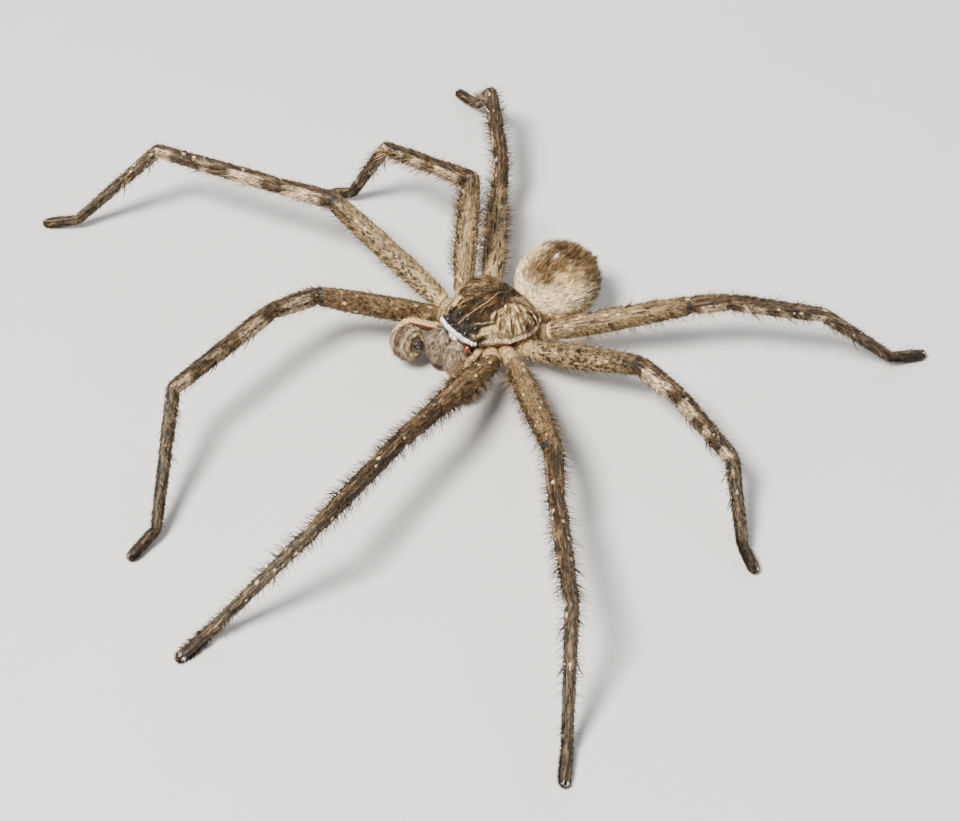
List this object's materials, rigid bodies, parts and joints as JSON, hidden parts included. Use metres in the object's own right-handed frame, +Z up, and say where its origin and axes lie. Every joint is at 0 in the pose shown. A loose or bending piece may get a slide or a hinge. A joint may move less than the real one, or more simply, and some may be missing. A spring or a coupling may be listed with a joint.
{
  "type": "huntsman spider",
  "caption": "Life-size still model of a grown male huntsman spider standing with its long legs spread, for display or teaching.",
  "frame": {"origin": "on the floor under the middle of the leg span", "axes": "+Z up from the floor, -Y the way the head faces, +X the spider's left side"},
  "size_m": [0.1084, 0.0954, 0.0163],
  "materials": {
    "skin": "short-haired shell all over the animal, grey-beige speckled and banded dark brown",
    "spine": "stiff blackish leg spines with pale roots",
    "carapace": "dark brown hairy shield with pale streaks, cream rim and a white band over the jaws",
    "sternum": "pale brown short hair",
    "abdomen": "cream velvet hair with a brown middle band",
    "spinnerets": "brown short hair",
    "chelicera": "grey-beige hair",
    "fang": "glossy dark brown horn",
    "palp": "reddish brown hair, paler at the tip",
    "palp_bulb": "glossy dark brown",
    "eye": "glossy black",
    "femur": "grey-beige hair, speckled dark brown",
    "patella": "dark grey-brown hair with cream patches",
    "tibia": "dark grey-brown hair with cream patches",
    "metatarsus": "grey-olive hair",
    "tarsus": "blackish pads of short hair"
  },
  "bodies": {
    "root": {"abdomen": "abdomen", "carapace": "carapace", "chelicera_left": "chelicera", "chelicera_right": "chelicera", "eye_anterior_lateral_left": "eye", "eye_anterior_lateral_right": "eye", "eye_anterior_median_left": "eye", "eye_anterior_median_right": "eye", "eye_posterior_lateral_left": "eye", "eye_posterior_lateral_right": "eye", "eye_posterior_median_left": "eye", "eye_posterior_median_right": "eye", "fang_left": "fang", "fang_right": "fang", "leg_left_1_femur": "femur", "leg_left_1_metatarsus": "metatarsus", "leg_left_1_patella": "patella", "leg_left_1_tarsus": "tarsus", "leg_left_1_tibia": "tibia", "leg_left_2_femur": "femur", "leg_left_2_metatarsus": "metatarsus", "leg_left_2_patella": "patella", "leg_left_2_tarsus": "tarsus", "leg_left_2_tibia": "tibia", "leg_left_3_femur": "femur", "leg_left_3_metatarsus": "metatarsus", "leg_left_3_patella": "patella", "leg_left_3_tarsus": "tarsus", "leg_left_3_tibia": "tibia", "leg_left_4_femur": "femur", "leg_left_4_metatarsus": "metatarsus", "leg_left_4_patella": "patella", "leg_left_4_tarsus": "tarsus", "leg_left_4_tibia": "tibia", "leg_right_1_femur": "femur", "leg_right_1_metatarsus": "metatarsus", "leg_right_1_patella": "patella", "leg_right_1_tarsus": "tarsus", "leg_right_1_tibia": "tibia", "leg_right_2_femur": "femur", "leg_right_2_metatarsus": "metatarsus", "leg_right_2_patella": "patella", "leg_right_2_tarsus": "tarsus", "leg_right_2_tibia": "tibia", "leg_right_3_femur": "femur", "leg_right_3_metatarsus": "metatarsus", "leg_right_3_patella": "patella", "leg_right_3_tarsus": "tarsus", "leg_right_3_tibia": "tibia", "leg_right_4_femur": "femur", "leg_right_4_metatarsus": "metatarsus", "leg_right_4_patella": "patella", "leg_right_4_tarsus": "tarsus", "leg_right_4_tibia": "tibia", "palp_bulb_left": "palp_bulb", "palp_bulb_right": "palp_bulb", "palp_left": "palp", "palp_right": "palp", "spinnerets": "spinnerets", "sternum": "sternum"}
  },
  "joints": []
}
